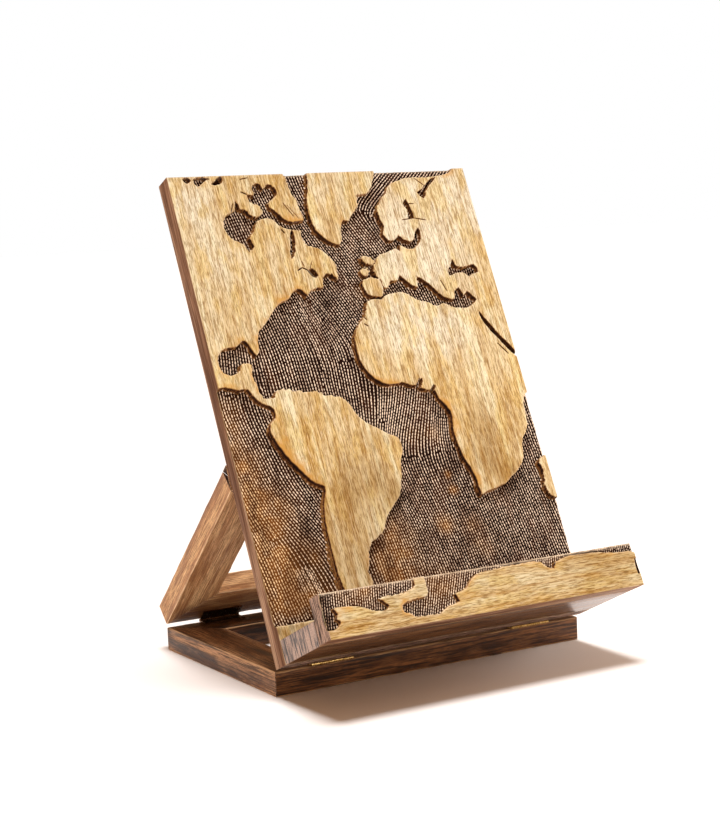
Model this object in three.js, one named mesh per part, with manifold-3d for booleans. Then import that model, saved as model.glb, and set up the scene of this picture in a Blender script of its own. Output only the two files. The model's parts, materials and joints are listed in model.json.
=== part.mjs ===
// Folding wooden book stand: a mitred base frame, a leaning panel carved with a world map,
// a ledge with a carved front fence, and a hinged strut frame that props the panel from behind.
// Millimetres, +Z up, +X to the right, the front faces -Y. The origin is the centre of the
// footprint of the open stand, on the table.
import * as THREE from 'three';
import { mergeVertices } from 'three/addons/utils/BufferGeometryUtils.js';
import Module from 'manifold-3d';

const wasm = await Module();
wasm.setup();

// ---- driving dimensions -------------------------------------------------------------------
const WIDTH = 254;                    // every frame and board is this wide
const BASE_DEPTH = 172.5;             // front to back
const BASE_THICKNESS = 17.3;
const MEMBER_WIDTH = 33;              // rails and stiles of both frames

const PANEL_ANGLE = 65.6;             // degrees up from the table
const PANEL_LENGTH = 358.4;
const PANEL_THICKNESS = 16.3;
const PANEL_RELIEF = 3.7;             // the sea lies this far below the land
const PLAIN_STRIP_TOP = 26.3;         // below this height the panel is left uncarved

const LEDGE_THICKNESS = 16.9;
const LEDGE_REACH = 85.4;             // from the panel's back to the front of the fence
const FENCE_HEIGHT = 31.2;
const FENCE_THICKNESS = 16.3;
const FENCE_RELIEF = 2.4;

const STRUT_ANGLE = 44;               // degrees up from the table
const STRUT_THICKNESS = 17.1;
const STRUT_FRONT_LENGTH = 166.8;     // along the face towards the panel
const STRUT_REAR_LENGTH = 174.1;      // the free end is bevelled to lie on the panel's back

const HINGE_WIDTH = 33;
const HINGE_INSET = 27.5;             // from the side of the stand to the hinge
const PIN_LIFT = 0.9;                 // pin axis above the wooden face that the leaf lies on
const PIN_OFFSET = 0.4;               // pin axis beyond the edge of that face
const PIN_RADIUS = 0.5;
const BORE_RADIUS = 0.62;
const KNUCKLE_RADIUS = 1.2;
const KNUCKLE_COUNT = 4;
const KNUCKLE_GAP = 0.25;
const LEAF_DEPTH = 11;
const LEAF_THICKNESS = 0.7;
const LEAF_SEAT = 0.1;                // clearance between a leaf and the wood below it
const GROOVE_RADIUS = 1.5;            // eased edge that makes room for the knuckles

const SCREW_SPACING = 19;
const SCREW_FROM_PIN = 6.5;
const SCREW_LENGTH = 9;
const SCREW_HEAD_RADIUS = 2;
const SCREW_HEAD_DEPTH = 1;
const SCREW_RADIUS = 1;
const SCREW_TIP_DEPTH = 2;
const SCREW_SLOT = 0.5;
const SCREW_CLEARANCE = 0.15;

const DOWEL_RADIUS = 3;
const DOWEL_CLEARANCE = 0.15;
const DOWEL_END_GAP = 0.5;
const CORNER_DOWEL_LENGTH = 24;
const LEDGE_DOWEL_DEPTHS = [9, 18];   // into the panel, into the ledge
const LEDGE_DOWEL_PLACES = [-113, -43, 43, 113];
const FENCE_DOWEL_DEPTHS = [14, 9];   // into the ledge, into the fence
const FENCE_DOWEL_PLACES = [-87, 0, 87];

const SEAM = 0.25;                    // glue line between neighbouring boards

const ROUND_SIDES = 12;
const GROOVE_SIDES = 16;
const MARGIN = 5;                     // how far a cutter runs past the wood
const LAP = 1;                        // how far two solids that are joined run into each other
const COAST_SAMPLES = 2;              // points on a smooth coast for each point of its outline

// ---- derived places -----------------------------------------------------------------------
const HALF = WIDTH / 2;
const panelTilt = THREE.MathUtils.degToRad(PANEL_ANGLE);
const strutTilt = THREE.MathUtils.degToRad(STRUT_ANGLE);
const frontPin = { y: -PIN_OFFSET, z: BASE_THICKNESS + PIN_LIFT };
const rearPin = { y: BASE_DEPTH + PIN_OFFSET, z: BASE_THICKNESS + PIN_LIFT };

// the panel's back bottom edge
const panelFoot = {
  y: frontPin.y - PIN_LIFT * Math.sin(panelTilt) + PIN_OFFSET * Math.cos(panelTilt),
  z: frontPin.z + PIN_LIFT * Math.cos(panelTilt) + PIN_OFFSET * Math.sin(panelTilt),
};
// the strut's front bottom edge
const strutFoot = {
  y: rearPin.y + PIN_LIFT * Math.sin(strutTilt) - PIN_OFFSET * Math.cos(strutTilt),
  z: rearPin.z + PIN_LIFT * Math.cos(strutTilt) + PIN_OFFSET * Math.sin(strutTilt),
};
const frontmost = panelFoot.y - LEDGE_REACH * Math.sin(panelTilt);
const rearmost = strutFoot.y + STRUT_THICKNESS * Math.sin(strutTilt);
const footprintCentre = (frontmost + rearmost) / 2;
const hingeCentre = HALF - HINGE_INSET - HINGE_WIDTH / 2;

// ---- the map ------------------------------------------------------------------------------
// Outlines on the panel's face: x from its left side, y up from its bottom edge. Land stands
// proud of the sea; inland waters are sunk into it. The coasts run past the panel's sides
// where the map is cut off.
const PAST = 3;
const LEFT = -PAST;
const RIGHT = WIDTH + PAST;
const TOP = PANEL_LENGTH + PAST;

const LANDS = {
  northAmerica: [
    [LEFT, TOP], [LEFT, 198], [5, 197], [10, 195.5], [16, 194], [22, 194.5], [25, 189],
    [30, 183], [36, 180], [39, 177], [44, 177], [44, 186], [38, 186], [33, 187], [31, 192],
    [30, 199], [28.5, 205], [30, 211], [27, 213.5], [22, 213], [20, 208.5], [13, 205.5],
    [7.5, 208], [4.8, 214], [6, 220], [10, 224.5], [16, 226], [22, 226.5], [26, 229.5],
    [29, 230], [31.5, 226], [33.5, 220.5], [36, 218.5], [38.5, 222], [40, 231], [43, 237],
    [47, 240], [52, 244.5], [58, 251], [63, 256], [72, 259.5], [76, 263.5], [81, 266],
    [85, 264.5], [88, 261], [92, 264.5], [98, 266.5], [104, 267], [105, 273], [108, 277],
    [113, 275.5], [117.5, 272], [118, 279], [119, 284], [116, 289], [112, 294], [107, 298],
    [100, 300], [96.5, 305], [96.5, 311], [99, 314.5], [102, 321], [100.5, 329],
    [100, 337], [97, 342], [96.5, 349], [92, TOP],
  ],
  greenland: [
    [117, TOP], [112.5, 350], [110, 341], [107, 333], [107, 321], [109, 312], [114, 305],
    [121, 300.5], [127, 300], [129.5, 305], [131, 312], [134.5, 319], [139, 318],
    [142, 322], [147, 326], [151, 331.5], [152, 338.5], [161, 340], [166.5, 345],
    [170, 352], [173, TOP],
  ],
  southAmerica: [
    [40, 184], [43.5, 190], [50, 192], [57, 190.5], [66, 188.5], [77, 188], [82, 184.5],
    [91, 183], [97, 179.5], [101, 173], [104, 166.5], [109, 161], [118, 155.5],
    [125, 150.5], [131, 148], [133.5, 143.5], [132.5, 136], [129, 130], [127.5, 122],
    [124, 112], [120, 103.5], [112, 96.5], [105, 89.5], [102, 83], [96.5, 78], [90, 75],
    [84.5, 68], [82.5, 58.5], [80, 53], [81.5, 46], [79, 38], [72, 30.5], [64, 31],
    [58.5, 40], [56, 52], [55.5, 70], [56, 86], [57.5, 101], [61, 111], [62.5, 117.5],
    [56.5, 120.5], [50, 127], [44, 135], [38.5, 143.5], [34, 152.5], [31.5, 161],
    [32.5, 167], [37.5, 171.5], [39, 178],
  ],
  oldWorld: [
    [RIGHT, 174], [252, 170.5], [249, 165], [247, 156], [246.5, 147], [243, 140.5],
    [238, 135.5], [235.5, 127], [234, 120.5], [228.5, 114], [221, 108.5], [213, 103.5],
    [201, 100], [193, 98.5], [188.5, 97], [187.5, 107], [185.5, 117], [181.5, 128],
    [179.5, 141], [179.5, 150], [181.5, 158.5], [179.5, 166], [174.5, 173], [172.5, 180],
    [166, 180.5], [160.5, 184], [154, 185.5], [147, 188], [136, 187], [128, 190.5],
    [122, 196.5], [118, 204], [116.5, 214], [118, 226], [121.5, 232.5], [128, 238.5],
    [133, 246], [136, 252.5], [143, 255], [150, 254], [154, 257], [162, 258.5],
    [171, 258], [177, 253.5], [184, 250.5], [190, 249], [196, 245.5], [202, 247.5],
    [208, 244.5], [217, 242.5], [226, 243.5], [231.5, 248.5], [229, 252], [225, 255.5],
    [222, 252.5], [218.5, 258.5], [214.5, 256], [213, 250.5], [206, 251], [200, 255.5],
    [195, 261.5], [189, 267.5], [184.5, 269.5], [184, 262], [177.5, 264], [173, 268.5],
    [170, 271.5], [167.5, 268], [161, 268], [158, 263.5], [153.5, 263], [153, 268.5],
    [150, 272], [149, 278], [152.5, 284], [158, 289.5], [166, 291.5], [173.5, 294],
    [176, 291.5], [177.5, 296.5], [183, 293.5], [189.5, 293], [195.5, 297.5],
    [198.5, 304], [198, 309.5], [194.5, 306.5], [192, 300.5], [187, 298.5], [182, 300.5],
    [178.5, 304], [174, 300.5], [168.5, 301], [165.5, 305.5], [168, 312], [166, 319],
    [166, 326], [171, 333], [177, 339], [182, 345.5], [191, 349.5], [203, 352],
    [217, 351.5], [226, 352.5], [236, 353.5], [243, 357], [247, TOP], [RIGHT, TOP],
  ],
  iberia: [
    [137.5, 270], [151.5, 270.5], [153, 264.5], [151.5, 256.5], [145, 256.5],
    [138.5, 258.5], [136.5, 263],
  ],
  britain: [[141, 288], [146.5, 289], [152, 286], [150.5, 282.5], [144, 283]],
  ireland: [[137.5, 277], [142, 280], [146, 277.5], [143, 273.5], [138.5, 273.5]],
  madagascar: [
    [RIGHT, 120], [249.5, 118.5], [246, 114.5], [248, 108], [245.5, 99], [247, 91],
    [251.5, 87], [RIGHT, 88.5],
  ],
};

const WATERS = {
  hudsonBay: [
    [49.5, 338], [47.5, 331], [40.5, 327.5], [36, 320.5], [37, 311.5], [43, 306.5],
    [48.5, 303.5], [52, 298.5], [55.5, 301], [53.5, 307.5], [58, 313], [62.5, 320],
    [69.5, 323.5], [76, 322], [80, 317], [86, 314.5], [94, 313], [103, 313], [106, 320],
    [92, 319], [85.5, 321.5], [80.5, 327], [75, 331.5], [71, 330.5], [67.5, 325.5],
    [62.5, 324], [58, 326.5], [55.5, 331], [51.5, 331],
  ],
  foxeBasin: [
    [71, 329], [67.5, 334], [61.5, 337], [60.5, 342], [66, 341], [66, 347.5], [69, 351.5],
    [72.5, 350], [74, 346], [78.5, 350], [83.5, 347.5], [85, 343], [81, 338.5],
    [75.5, 335], [75.5, 330],
  ],
  polarInlets: [[12, 356.5], [15.5, 357.5], [18, 354.5], [15, 353]],
  polarInletsEast: [[20, 356], [22.5, 350.5], [27, 353], [31, 355], [28, 357.5]],
  polarStrait: [[33.5, 352], [38, 355], [42, 358], [43.5, 354.5], [41, 351.5]],
  innerFjord: [[89, 313.5], [90, 306], [87.5, 296], [83.5, 290], [84.5, 299], [86.5, 307]],
  gulfInlet: [[95, 281], [98, 281.5], [101, 276], [99.5, 275]],
  blackSea: [
    [214, 269], [215, 274.5], [218, 277.5], [220, 282.5], [222, 277], [228, 275.5],
    [238.5, 277], [240.5, 270.5], [236, 270], [232, 267.5], [228, 271], [220, 271],
  ],
  redSea: [
    [231, 238.5], [236, 230], [243, 219], [254, 203], [254, 199.5], [242, 215.5], [233, 229],
  ],
  whiteSea: [
    [227, 352], [219, 349], [212.5, 343.5], [206, 339], [211, 334], [214, 339.5], [219.5, 345],
  ],
  innerBaltic: [
    [193.5, 334], [190.5, 329.5], [193, 325], [191.5, 318.5], [196.5, 317.5], [196, 325],
  ],
  guineaInlet: [[160, 182], [163.5, 185], [165.5, 190], [162.5, 189], [159, 185.5]],
  congoInlet: [[170, 178.5], [173, 180], [175, 183.5], [172, 182.5]],
};

const FENCE_LAND = [
  [LEFT, -PAST], [LEFT, 5.5], [5, 6], [9, 9], [9.5, 11], [7, 12.5], [9, 15], [7, 19.5],
  [14, 20], [21, 19.5], [28, 18], [34, 15], [39, 13.5], [44, 13], [48, 15], [45, 18],
  [42.5, 21], [49, 22], [57, 22], [66, 23.5], [70.5, 26], [70.5, 36], [78.5, 36],
  [79.5, 27], [79.5, 20], [76, 17.5], [69, 17], [63, 16], [58, 14.5], [58, 10],
  [62, 8.5], [66, 5.5], [76, 5], [85, 5], [88.5, 7], [94, 9], [101, 10.5], [99.5, 16],
  [104, 17], [109, 18.5], [113, 22.5], [118, 26], [126, 27.5], [136, 28], [147, 29],
  [158, 29], [172, 28.5], [175, 26.5], [178, 23.5], [182.5, 22], [184, 25.5], [191, 27.5],
  [199, 29], [212, 28.5], [223, 28], [232, 26.5], [243, 25.5], [RIGHT, 23],
  [RIGHT, -PAST],
];

// ---- solids -------------------------------------------------------------------------------
function toSolid(geometry) {
  const bare = geometry.clone();
  bare.deleteAttribute('normal');
  bare.deleteAttribute('uv');
  const merged = mergeVertices(bare, 1e-4);
  return new wasm.Manifold(new wasm.Mesh({
    numProp: 3,
    vertProperties: new Float32Array(merged.attributes.position.array),
    triVerts: new Uint32Array(merged.index.array),
  }));
}

function toGeometry(solid) {
  const mesh = solid.getMesh();
  const geometry = new THREE.BufferGeometry();
  geometry.setAttribute('position', new THREE.BufferAttribute(mesh.vertProperties, 3));
  geometry.setIndex(new THREE.BufferAttribute(mesh.triVerts, 1));
  geometry.computeVertexNormals();
  return geometry;
}

// a box between two corners
function block([x0, y0, z0], [x1, y1, z1]) {
  const geometry = new THREE.BoxGeometry(x1 - x0, y1 - y0, z1 - z0);
  geometry.translate((x0 + x1) / 2, (y0 + y1) / 2, (z0 + z1) / 2);
  return toSolid(geometry);
}

// an outline in x and y, raised from one height to another
function prism(points, z0, z1) {
  const shape = new THREE.Shape(points.map(([x, y]) => new THREE.Vector2(x, y)));
  const geometry = new THREE.ExtrudeGeometry(shape, { depth: z1 - z0, bevelEnabled: false });
  geometry.translate(0, 0, z0);
  return toSolid(geometry);
}

// a round bar from one point to another
function rod(from, to, radius, sides = ROUND_SIDES) {
  const start = new THREE.Vector3(...from);
  const run = new THREE.Vector3(...to).sub(start);
  const geometry = new THREE.CylinderGeometry(radius, radius, run.length(), sides);
  geometry.translate(0, run.length() / 2, 0);
  const turn = new THREE.Quaternion().setFromUnitVectors(
    new THREE.Vector3(0, 1, 0), run.clone().normalize());
  geometry.applyQuaternion(turn);
  geometry.translate(start.x, start.y, start.z);
  return toSolid(geometry);
}

const joined = (solids) => solids.reduce((whole, solid) => whole.add(solid));
const cut = (solid, cutters) => cutters.reduce((rest, cutter) => rest.subtract(cutter), solid);

// ---- materials ----------------------------------------------------------------------------
const LOOKS = {
  carvedWood: { color: 0xd6ab6c, roughness: 0.6, metalness: 0 },
  ledgeWood: { color: 0x8a5f42, roughness: 0.6, metalness: 0 },
  baseWood: { color: 0x5d3b26, roughness: 0.5, metalness: 0 },
  strutWood: { color: 0x7a5334, roughness: 0.5, metalness: 0 },
  dowelWood: { color: 0xcaa878, roughness: 0.7, metalness: 0 },
  brass: { color: 0xc19a4b, roughness: 0.35, metalness: 1 },
};

function part(name, solid, look) {
  const mesh = new THREE.Mesh(toGeometry(solid), new THREE.MeshStandardMaterial(LOOKS[look]));
  mesh.name = name;
  return mesh;
}

// ---- hinges -------------------------------------------------------------------------------
// In a hinge's own frame the pin runs along X through the origin, the wooden face lies
// PIN_LIFT below it and the leaf reaches towards +Y. Both leaves of a hinge are alike.
const leafTop = LEAF_SEAT + LEAF_THICKNESS - PIN_LIFT;

function hingeLeaf() {
  const pitch = HINGE_WIDTH / KNUCKLE_COUNT;
  const clearance = KNUCKLE_RADIUS + KNUCKLE_GAP;
  let leaf = block(
    [-HINGE_WIDTH / 2, 0, LEAF_SEAT - PIN_LIFT],
    [HINGE_WIDTH / 2, LEAF_DEPTH, leafTop]);
  for (let i = 0; i < KNUCKLE_COUNT; i += 1) {
    const from = -HINGE_WIDTH / 2 + i * pitch;
    if (i % 2 === 0) {
      const barrel = rod([from, 0, 0], [from + pitch - KNUCKLE_GAP, 0, 0], KNUCKLE_RADIUS);
      leaf = leaf.add(barrel);
    } else {
      const past = i === KNUCKLE_COUNT - 1 ? MARGIN : 0;
      const notch = block(
        [from - KNUCKLE_GAP, -clearance, -clearance],
        [from + pitch + past, clearance, clearance]);
      leaf = leaf.subtract(notch);
    }
  }
  const bore = rod([-HINGE_WIDTH, 0, 0], [HINGE_WIDTH, 0, 0], BORE_RADIUS);
  return cut(leaf, [bore, ...screwPlaces().map((x) => screwBody(x, SCREW_CLEARANCE))]);
}

const screwPlaces = () => [-SCREW_SPACING / 2, SCREW_SPACING / 2];

// a countersunk wood screw, or with a clearance the hole that it sits in, open at the top
function screwBody(x, clearance = 0) {
  const outer = SCREW_HEAD_RADIUS + clearance;
  const shank = SCREW_RADIUS + clearance;
  const profile = [
    [0, -SCREW_LENGTH - clearance],
    [shank, SCREW_TIP_DEPTH - SCREW_LENGTH - clearance],
    [shank, -SCREW_HEAD_DEPTH],
    [outer, 0],
    ...(clearance > 0 ? [[outer, MARGIN], [0, MARGIN]] : [[0, 0]]),
  ].map(([r, z]) => new THREE.Vector2(r, z));
  const geometry = new THREE.LatheGeometry(profile, ROUND_SIDES);
  geometry.rotateX(Math.PI / 2);
  geometry.translate(x, SCREW_FROM_PIN, leafTop);
  return toSolid(geometry);
}

function hingeScrew(x) {
  const reach = SCREW_HEAD_RADIUS + LAP;
  const slot = block(
    [x - reach, SCREW_FROM_PIN - SCREW_SLOT / 2, leafTop - SCREW_SLOT],
    [x + reach, SCREW_FROM_PIN + SCREW_SLOT / 2, leafTop + LAP]);
  return screwBody(x).subtract(slot);
}

// what the wood loses to one hinge: a groove under the knuckles and the screw holes
function hingeRecess() {
  const half = HINGE_WIDTH / 2 + KNUCKLE_GAP;
  const groove = rod([-half, 0, 0], [half, 0, 0], GROOVE_RADIUS, GROOVE_SIDES);
  return joined([groove, ...screwPlaces().map((x) => screwBody(x, SCREW_CLEARANCE))]);
}

const hingePin = () => rod([-HINGE_WIDTH / 2, 0, 0], [HINGE_WIDTH / 2, 0, 0], PIN_RADIUS);

// The frame of each wooden piece that carries hinges: where its pin axis is, and how the
// hinge is turned there.
const SEATS = {
  baseFront: { position: [0, frontPin.y, frontPin.z], rotation: [0, 0, 0] },
  baseRear: { position: [0, rearPin.y, rearPin.z], rotation: [0, 0, Math.PI] },
  panel: { position: [0, -PIN_OFFSET, -PIN_LIFT], rotation: [0, Math.PI, 0] },
  strut: { position: [0, -PIN_OFFSET, PIN_LIFT], rotation: [0, 0, 0] },
};
const SIDES = { left: -1, right: 1 };

function seatMatrix(seat, side) {
  const [x, y, z] = seat.position;
  return new THREE.Matrix4().compose(
    new THREE.Vector3(x + side * hingeCentre, y, z),
    new THREE.Quaternion().setFromEuler(new THREE.Euler(...seat.rotation)),
    new THREE.Vector3(1, 1, 1));
}

const seated = (solid, seat, side) => solid.transform(seatMatrix(seat, side).elements);
const recesses = (seat) => Object.values(SIDES).map((side) => seated(hingeRecess(), seat, side));

// the leaf and its screws on both sides of one wooden piece
function addLeaves(group, name, seat) {
  for (const [sideName, side] of Object.entries(SIDES)) {
    group.add(part(`${name}_leaf_${sideName}`, seated(hingeLeaf(), seat, side), 'brass'));
    screwPlaces().forEach((x, i) => {
      const screw = seated(hingeScrew(x), seat, side);
      group.add(part(`${name}_screw_${sideName}_${i + 1}`, screw, 'brass'));
    });
  }
}

function addPins(group, name, seat) {
  for (const [sideName, side] of Object.entries(SIDES)) {
    group.add(part(`${name}_pin_${sideName}`, seated(hingePin(), seat, side), 'brass'));
  }
}

function addDowels(group, name, dowels) {
  dowels.forEach((dowel, i) => group.add(part(`${name}_dowel_${i + 1}`, dowel, 'dowelWood')));
}

// ---- mitred frames ------------------------------------------------------------------------
const mitreGap = SEAM / Math.SQRT2;

// A rail across the frame's width, from its outer edge inwards. `inward` is 1 where the
// frame lies above the edge in Y and -1 where it lies below.
function railOutline(edge, inward) {
  const inner = edge + inward * MEMBER_WIDTH;
  return [
    [-HALF + mitreGap, edge], [HALF - mitreGap, edge],
    [HALF - MEMBER_WIDTH - mitreGap, inner], [-HALF + MEMBER_WIDTH + mitreGap, inner],
  ];
}

function stileOutline(side, bottom, top) {
  return [
    [side * HALF, bottom + mitreGap], [side * HALF, top - mitreGap],
    [side * (HALF - MEMBER_WIDTH), top - MEMBER_WIDTH - mitreGap],
    [side * (HALF - MEMBER_WIDTH), bottom + MEMBER_WIDTH + mitreGap],
  ];
}

// one dowel across each mitre, at mid thickness
function cornerDowels(bottom, top, z, clearance = 0) {
  const reach = CORNER_DOWEL_LENGTH / 2 + (clearance > 0 ? DOWEL_END_GAP : 0);
  const step = reach / Math.SQRT2;
  const middle = MEMBER_WIDTH / 2;
  const dowels = [];
  for (const side of Object.values(SIDES)) {
    for (const [edge, inward] of [[bottom, 1], [top, -1]]) {
      const x = side * (HALF - middle);
      const y = edge + inward * middle;
      dowels.push(rod(
        [x - side * step, y - inward * step, z], [x + side * step, y + inward * step, z],
        DOWEL_RADIUS + clearance));
    }
  }
  return dowels;
}

// ---- base ---------------------------------------------------------------------------------
function makeBase() {
  const group = new THREE.Group();
  const middle = BASE_THICKNESS / 2;
  const holes = cornerDowels(0, BASE_DEPTH, middle, DOWEL_CLEARANCE);
  const outlines = {
    base_front_rail: railOutline(0, 1),
    base_rear_rail: railOutline(BASE_DEPTH, -1),
    base_left_rail: stileOutline(-1, 0, BASE_DEPTH),
    base_right_rail: stileOutline(1, 0, BASE_DEPTH),
  };
  const cutters = [...holes, ...recesses(SEATS.baseFront), ...recesses(SEATS.baseRear)];
  for (const [name, outline] of Object.entries(outlines)) {
    group.add(part(name, cut(prism(outline, 0, BASE_THICKNESS), cutters), 'baseWood'));
  }
  addDowels(group, 'base_corner', cornerDowels(0, BASE_DEPTH, middle));
  addLeaves(group, 'front_hinge_base', SEATS.baseFront);
  addPins(group, 'front_hinge', SEATS.baseFront);
  addLeaves(group, 'rear_hinge_base', SEATS.baseRear);
  addPins(group, 'rear_hinge', SEATS.baseRear);
  return group;
}

// ---- panel, ledge and fence ---------------------------------------------------------------
// Panel frame: Y runs up the panel from its back bottom edge, Z stands out of its face.
const ledgeStart = PANEL_THICKNESS + SEAM;
const fenceStart = LEDGE_REACH - FENCE_THICKNESS;
const ledgeEnd = fenceStart - SEAM;
const ledgeMiddle = LEDGE_THICKNESS / 2;

// a closed smooth coast through the given points
function coast(points) {
  const curve = new THREE.CatmullRomCurve3(
    points.map(([x, y]) => new THREE.Vector3(x - HALF, y, 0)), true, 'centripetal');
  const samples = curve.getPoints(points.length * COAST_SAMPLES);
  return samples.slice(0, -1).map(({ x, y }) => [x, y]);
}

function carvedPanel() {
  const seaLevel = PANEL_THICKNESS - PANEL_RELIEF;
  const board = block([-HALF, 0, 0], [HALF, PANEL_LENGTH, seaLevel]);
  const root = seaLevel - LAP;
  const face = block([-HALF, PLAIN_STRIP_TOP, root], [HALF, PANEL_LENGTH, PANEL_THICKNESS]);
  const strip = block([-HALF, 0, root], [HALF, PLAIN_STRIP_TOP, PANEL_THICKNESS]);
  const raised = (outline) => prism(coast(outline), seaLevel - MARGIN, PANEL_THICKNESS + MARGIN);
  const land = joined(Object.values(LANDS).map(raised));
  const dry = cut(land, Object.values(WATERS).map(raised));
  return joined([board, strip, dry.intersect(face)]);
}

function carvedFence() {
  const seaLevel = LEDGE_REACH - FENCE_RELIEF;
  const board = block([-HALF, 0, fenceStart], [HALF, FENCE_HEIGHT, seaLevel]);
  const face = block([-HALF, 0, seaLevel - LAP], [HALF, FENCE_HEIGHT, LEDGE_REACH]);
  const land = prism(coast(FENCE_LAND), seaLevel - MARGIN, LEDGE_REACH + MARGIN);
  return board.add(land.intersect(face));
}

// dowels along Z through a joint at height `at`, reaching back and forward from it
function crossDowels(places, at, [back, forward], clearance = 0) {
  const gap = clearance > 0 ? DOWEL_END_GAP : 0;
  return places.map((x) => rod(
    [x, ledgeMiddle, at - back - gap], [x, ledgeMiddle, at + forward + gap],
    DOWEL_RADIUS + clearance));
}

function makePanel() {
  const group = new THREE.Group();
  const ledgeJoint = [LEDGE_DOWEL_PLACES, ledgeStart, LEDGE_DOWEL_DEPTHS];
  const fenceJoint = [FENCE_DOWEL_PLACES, fenceStart, FENCE_DOWEL_DEPTHS];
  const ledgeHoles = crossDowels(...ledgeJoint, DOWEL_CLEARANCE);
  const fenceHoles = crossDowels(...fenceJoint, DOWEL_CLEARANCE);
  const panel = cut(carvedPanel(), [...ledgeHoles, ...recesses(SEATS.panel)]);
  const ledge = block([-HALF, 0, ledgeStart], [HALF, LEDGE_THICKNESS, ledgeEnd]);
  group.add(part('reading_panel', panel, 'carvedWood'));
  group.add(part('ledge_board', cut(ledge, [...ledgeHoles, ...fenceHoles]), 'ledgeWood'));
  group.add(part('front_fence', cut(carvedFence(), fenceHoles), 'carvedWood'));
  addDowels(group, 'ledge', crossDowels(...ledgeJoint));
  addDowels(group, 'fence', crossDowels(...fenceJoint));
  addLeaves(group, 'front_hinge_panel', SEATS.panel);
  group.position.set(0, panelFoot.y, panelFoot.z);
  group.rotation.x = panelTilt;
  return group;
}

// ---- strut --------------------------------------------------------------------------------
// Strut frame: Y runs up the strut from its front bottom edge, the wood lies below Z = 0.
function makeStrut() {
  const group = new THREE.Group();
  const middle = -STRUT_THICKNESS / 2;
  const top = STRUT_FRONT_LENGTH;
  const holes = cornerDowels(0, top, middle, DOWEL_CLEARANCE);
  const slope = (STRUT_REAR_LENGTH - top) / STRUT_THICKNESS;
  // the top rail starts overlong, and a block that follows the bevel takes the waste off it
  const overlong = top + MEMBER_WIDTH;
  const [outerLeft, outerRight, innerRight, innerLeft] = railOutline(top, -1);
  const topRail = [
    outerLeft, [-HALF, top], [-HALF, overlong], [HALF, overlong], [HALF, top],
    outerRight, innerRight, innerLeft,
  ];
  const acrossToX = new THREE.Matrix4().makeBasis(
    new THREE.Vector3(0, 1, 0), new THREE.Vector3(0, 0, 1), new THREE.Vector3(1, 0, 0));
  const waste = prism([
    [top - MARGIN * slope, MARGIN],
    [STRUT_REAR_LENGTH + MARGIN * slope, -STRUT_THICKNESS - MARGIN],
    [overlong + MEMBER_WIDTH, -STRUT_THICKNESS - MARGIN],
    [overlong + MEMBER_WIDTH, MARGIN],
  ], -WIDTH, WIDTH).transform(acrossToX.elements);
  const outlines = {
    strut_bottom_rail: railOutline(0, 1),
    strut_top_rail: topRail,
    strut_left_stile: stileOutline(-1, 0, top),
    strut_right_stile: stileOutline(1, 0, top),
  };
  const cutters = [...holes, ...recesses(SEATS.strut), waste];
  for (const [name, outline] of Object.entries(outlines)) {
    group.add(part(name, cut(prism(outline, -STRUT_THICKNESS, 0), cutters), 'strutWood'));
  }
  addDowels(group, 'strut_corner', cornerDowels(0, top, middle));
  addLeaves(group, 'rear_hinge_strut', SEATS.strut);
  group.position.set(0, strutFoot.y, strutFoot.z);
  group.rotation.x = Math.PI - strutTilt;
  return group;
}

// ---- the stand ----------------------------------------------------------------------------
const stand = new THREE.Group();
stand.add(makeBase(), makePanel(), makeStrut());
stand.position.y = -footprintCentre;

export default stand;
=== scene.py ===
"""Looks of a folding book stand: a leaning panel carved with a world map, a ledge with a carved
fence, a mitred base frame and a hinged strut frame. Local places are in millimetres."""
import json
import math
from collections import deque

import bpy
import numpy as np
from mathutils import Matrix, Vector
from mathutils.bvhtree import BVHTree
from mathutils.kdtree import KDTree

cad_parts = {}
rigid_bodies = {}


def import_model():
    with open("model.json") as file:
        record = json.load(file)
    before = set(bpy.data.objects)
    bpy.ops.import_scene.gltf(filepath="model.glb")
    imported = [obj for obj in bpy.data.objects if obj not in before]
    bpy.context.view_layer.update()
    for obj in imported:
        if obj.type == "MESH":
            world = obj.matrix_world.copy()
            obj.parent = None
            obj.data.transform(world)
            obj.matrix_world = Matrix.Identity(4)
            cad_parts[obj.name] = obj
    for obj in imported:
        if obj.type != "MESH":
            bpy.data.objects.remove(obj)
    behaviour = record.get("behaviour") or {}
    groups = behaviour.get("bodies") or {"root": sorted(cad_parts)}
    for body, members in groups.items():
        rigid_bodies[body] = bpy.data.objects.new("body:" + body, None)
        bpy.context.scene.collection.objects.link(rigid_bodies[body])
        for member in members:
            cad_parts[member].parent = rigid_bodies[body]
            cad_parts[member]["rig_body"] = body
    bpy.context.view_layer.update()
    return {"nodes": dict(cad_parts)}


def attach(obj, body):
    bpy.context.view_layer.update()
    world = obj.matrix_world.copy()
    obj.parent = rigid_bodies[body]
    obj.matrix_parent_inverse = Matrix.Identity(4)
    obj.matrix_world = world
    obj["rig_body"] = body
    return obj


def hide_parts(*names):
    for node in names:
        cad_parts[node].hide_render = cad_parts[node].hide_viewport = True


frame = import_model()
nodes = frame["nodes"]

MM = 0.001
FLAT = 0.02             # points this close, in mm, lie in one plane


# ---- local frames -------------------------------------------------------------------------
class Place:
    """A frame turned about X: x to the right, up along the boards, out of their front face."""

    def __init__(self, tilt_degrees, corner_node, face_is_highest=False):
        tilt = math.radians(tilt_degrees)
        c, s = math.cos(tilt), math.sin(tilt)
        self.axes = np.array([(1, 0, 0), (0, c, s), (0, -s, c)])
        self.origin = np.zeros(3)
        points = self.local(node_points(corner_node))
        out = points[:, 2].max() if face_is_highest else points[:, 2].min()
        self.origin = np.array([0, points[:, 1].min(), out])

    def local(self, points):
        return (np.asarray(points) / MM) @ self.axes.T - self.origin

    def world(self, points):
        return (np.asarray(points) + self.origin) @ self.axes * MM


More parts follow.
